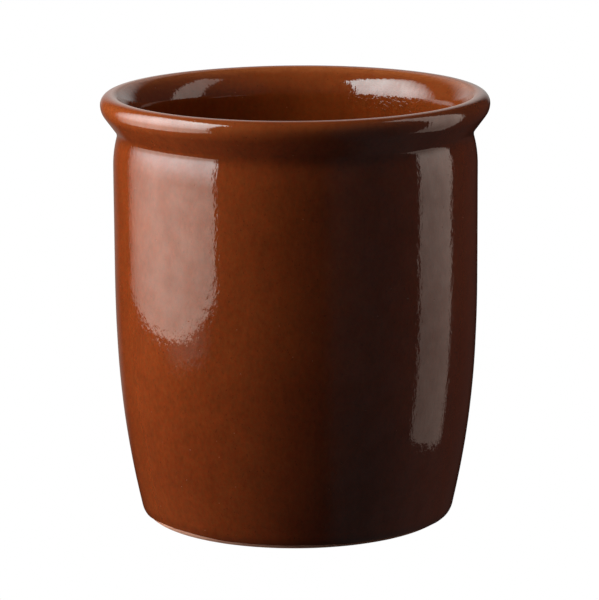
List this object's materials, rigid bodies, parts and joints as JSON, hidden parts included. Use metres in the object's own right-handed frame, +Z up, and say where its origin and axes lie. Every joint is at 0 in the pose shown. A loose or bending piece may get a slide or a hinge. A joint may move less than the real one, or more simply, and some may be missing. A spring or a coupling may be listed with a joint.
{
  "type": "fermentation crock",
  "caption": "Open glazed stoneware fermentation crock with a rolled bead rim, a grooved neck and a bare clay foot, and half-moon weights lying on its floor.",
  "frame": {"origin": "centre of the flat surface that the foot's standing ring rests on", "axes": "+Z up along the crock's turning axis, out of the mouth; the gap between the weights runs along Y; X and Y are otherwise free, because the crock is round"},
  "size_m": [0.154, 0.154, 0.1706],
  "materials": {
    "bare_clay": "matt fired clay, bare at the foot and under the base",
    "brown_glaze": "glossy red-brown glaze with faint orange peel",
    "weight_glaze": "satin brown glaze"
  },
  "bodies": {
    "crock": {"crock_body": "bare_clay", "glaze_coat": "brown_glaze"},
    "left_weight": {"weight_left": "weight_glaze"},
    "right_weight": {"weight_right": "weight_glaze"}
  },
  "joints": [
    {"name": "lift_left_weight", "type": "slide", "parent": "crock", "child": "left_weight", "axis": [0, 0, 1], "range_m": [0, 0.18]},
    {"name": "lift_right_weight", "type": "slide", "parent": "crock", "child": "right_weight", "axis": [0, 0, 1], "range_m": [0, 0.18]}
  ]
}
